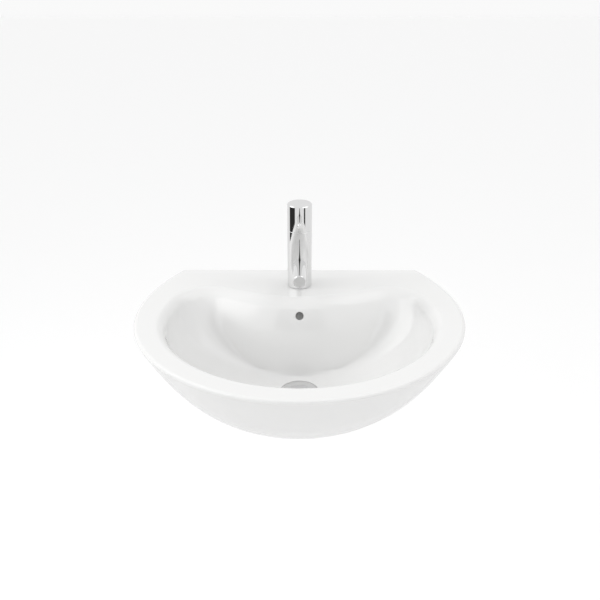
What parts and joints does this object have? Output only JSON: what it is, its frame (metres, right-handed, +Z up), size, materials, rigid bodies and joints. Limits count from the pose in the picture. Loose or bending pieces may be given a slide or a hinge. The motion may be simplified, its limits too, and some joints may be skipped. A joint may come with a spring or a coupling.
{
  "type": "semi recessed basin",
  "caption": "Semi recessed washbasin with a flat tap deck, round apron front, single lever tap, overflow and push-open waste.",
  "frame": {"origin": "middle of the counter's front top edge, on the plane on which the rim rests", "axes": "+X across the basin to its right, +Y to the back, +Z up"},
  "size_m": [0.5578, 0.4618, 0.3706],
  "materials": {
    "china": "glossy white glaze",
    "polished_metal": "mirror polished",
    "plug_metal": "mirror polished",
    "plain_brass": "plain turned",
    "plain_steel": "plain",
    "seal_rubber": "black",
    "dark_plastic": "moulded",
    "pale_plastic": "moulded",
    "disc_ceramic": "lapped"
  },
  "bodies": {
    "fixed": {"basin_body": "china", "waste_body": "polished_metal", "flange_seal": "seal_rubber", "tail_washer": "seal_rubber", "slip_washer": "pale_plastic", "back_nut": "plain_brass", "clicker_housing": "dark_plastic", "clicker_spring": "plain_steel", "tap_body": "polished_metal", "tap_base_gasket": "seal_rubber", "spout": "polished_metal", "spout_seal": "seal_rubber", "aerator_housing": "polished_metal", "aerator_insert": "pale_plastic", "aerator_seal": "seal_rubber", "mounting_stud": "plain_brass", "horseshoe_gasket": "seal_rubber", "horseshoe_washer": "plain_steel", "stud_nut": "plain_brass", "cartridge_base": "dark_plastic", "port_seals": "seal_rubber", "fixed_disc": "disc_ceramic", "cartridge_housing": "dark_plastic", "cartridge_nut": "plain_brass", "bonnet_ring": "polished_metal"},
    "turret": {"stem_turret": "dark_plastic", "pivot_pin": "plain_steel"},
    "handle": {"control_stem": "plain_brass", "handle_cap": "polished_metal", "lever_pin": "polished_metal", "grub_screw": "plain_steel", "screw_cover": "polished_metal"},
    "mixing_disc": {"moving_disc": "disc_ceramic", "disc_carrier": "dark_plastic"},
    "plug": {"plug_cap": "plug_metal", "plug_seal": "seal_rubber", "plug_stem": "plain_brass"}
  },
  "joints": [
    {"name": "handle_swivel", "type": "hinge", "parent": "fixed", "child": "turret", "pos_m": [0, 0.182, 0.115], "axis": [0, 0, 1], "range_deg": [-50, 50]},
    {"name": "lever_lift", "type": "hinge", "parent": "turret", "child": "handle", "pos_m": [0, 0.182, 0.115], "axis": [-1, 0, 0], "range_deg": [0, 22]},
    {"name": "disc_slide", "type": "slide", "parent": "turret", "child": "mixing_disc", "axis": [0, -1, 0], "range_m": [0, 0.00375]},
    {"name": "plug_slide", "type": "slide", "parent": "fixed", "child": "plug", "axis": [0, 0, 1], "range_m": [0, 0.008], "deforming": ["clicker_spring"]}
  ],
  "couplings": [
    {"joint": "disc_slide", "follows": "lever_lift", "m_per_rad": 0.0095}
  ]
}
